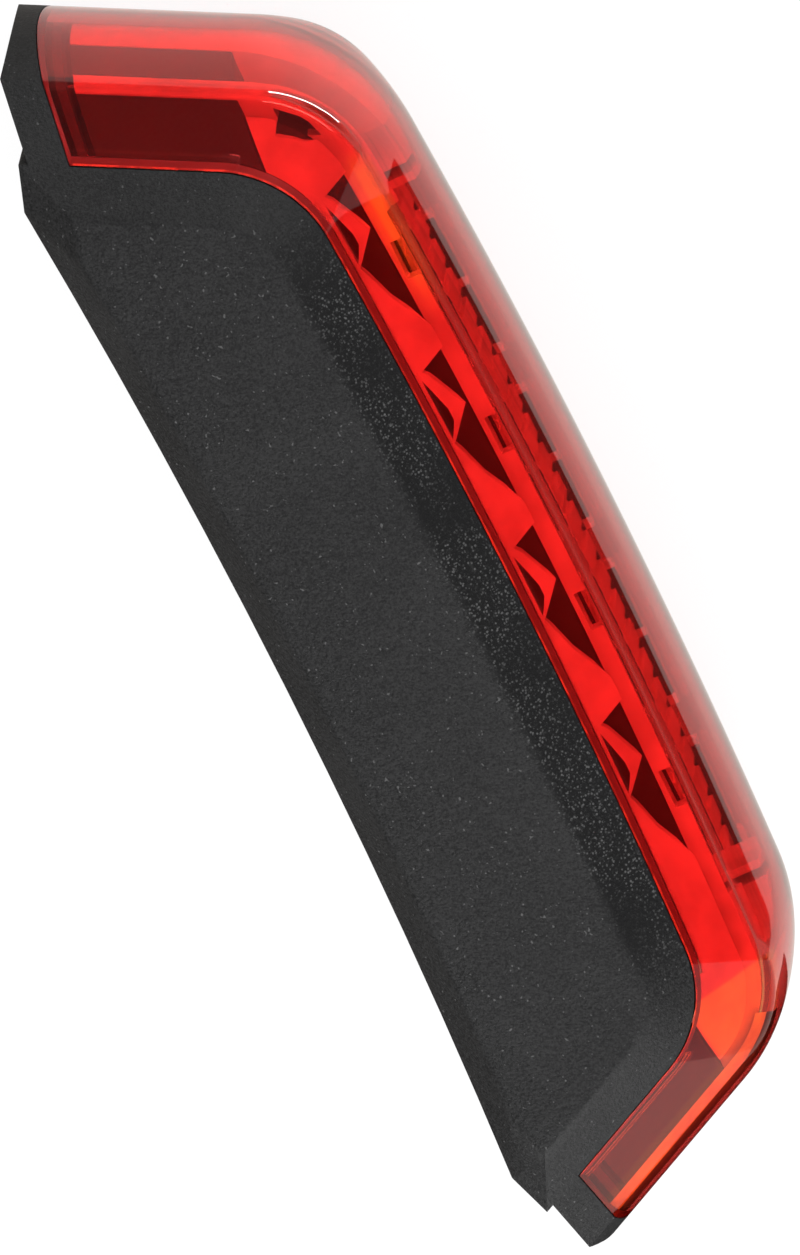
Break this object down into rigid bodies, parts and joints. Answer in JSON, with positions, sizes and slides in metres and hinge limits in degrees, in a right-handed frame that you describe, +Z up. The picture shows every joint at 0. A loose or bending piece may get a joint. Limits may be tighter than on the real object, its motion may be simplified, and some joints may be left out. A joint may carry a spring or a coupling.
{
  "type": "bicycle rack rear light",
  "caption": "Wide red rear light for a bicycle rack, with a wrap-round lens, black housing, push button and battery door below, and threaded inserts behind.",
  "frame": {"origin": "midway between the two threaded inserts, on the flat face of the housing that bears on the rack", "axes": "+X along the light's width, +Y out of its back towards the rack, +Z up; it shines towards -Y"},
  "size_m": [0.115, 0.0299, 0.0336],
  "materials": {
    "housing": "fine-textured black",
    "lens": "polished clear red",
    "seal": "soft black",
    "insert": "turned",
    "cell": "satin",
    "contact": "nickel-plated strip",
    "screw": "zinc-plated",
    "board": "green solder mask",
    "lamp": "white body with a yellow dome",
    "chip": "moulded black",
    "plunger": "moulded white",
    "button": "soft black",
    "reflector": "polished white",
    "guide": "clear red-orange",
    "optic": "ribbed clear red",
    "inner": "moulded black"
  },
  "bodies": {
    "light": {"housing": "housing", "lens": "lens", "gasket_left": "seal", "gasket_right": "seal", "mount_inserts": "insert", "battery_upper": "cell", "battery_lower": "cell", "contact_link": "contact", "contact_positive": "contact", "contact_negative": "contact", "circuit_board": "board", "board_screws": "screw", "led_1": "lamp", "led_2": "lamp", "led_3": "lamp", "led_4": "lamp", "controller_chip": "chip", "capacitor": "cell", "mode_switch": "chip", "reflector_top": "reflector", "reflector_bottom": "reflector", "light_guide_top": "guide", "light_guide_bottom": "guide", "front_optic": "optic", "carrier": "inner", "end_block_left": "inner", "end_block_right": "inner"},
    "button": {"button": "button", "button_seal": "seal", "switch_plunger": "plunger"},
    "door": {"battery_door": "housing", "door_seal": "seal", "door_screws": "screw"}
  },
  "joints": [
    {"name": "button_press", "type": "slide", "parent": "light", "child": "button", "axis": [0, 0, 1], "range_m": [0, 0.0006], "stiffness_N_per_m": 2500, "springref_m": -0.0006},
    {"name": "battery_door_lift", "type": "slide", "parent": "light", "child": "door", "axis": [0, 0, -1], "range_m": [0, 0.013]}
  ]
}
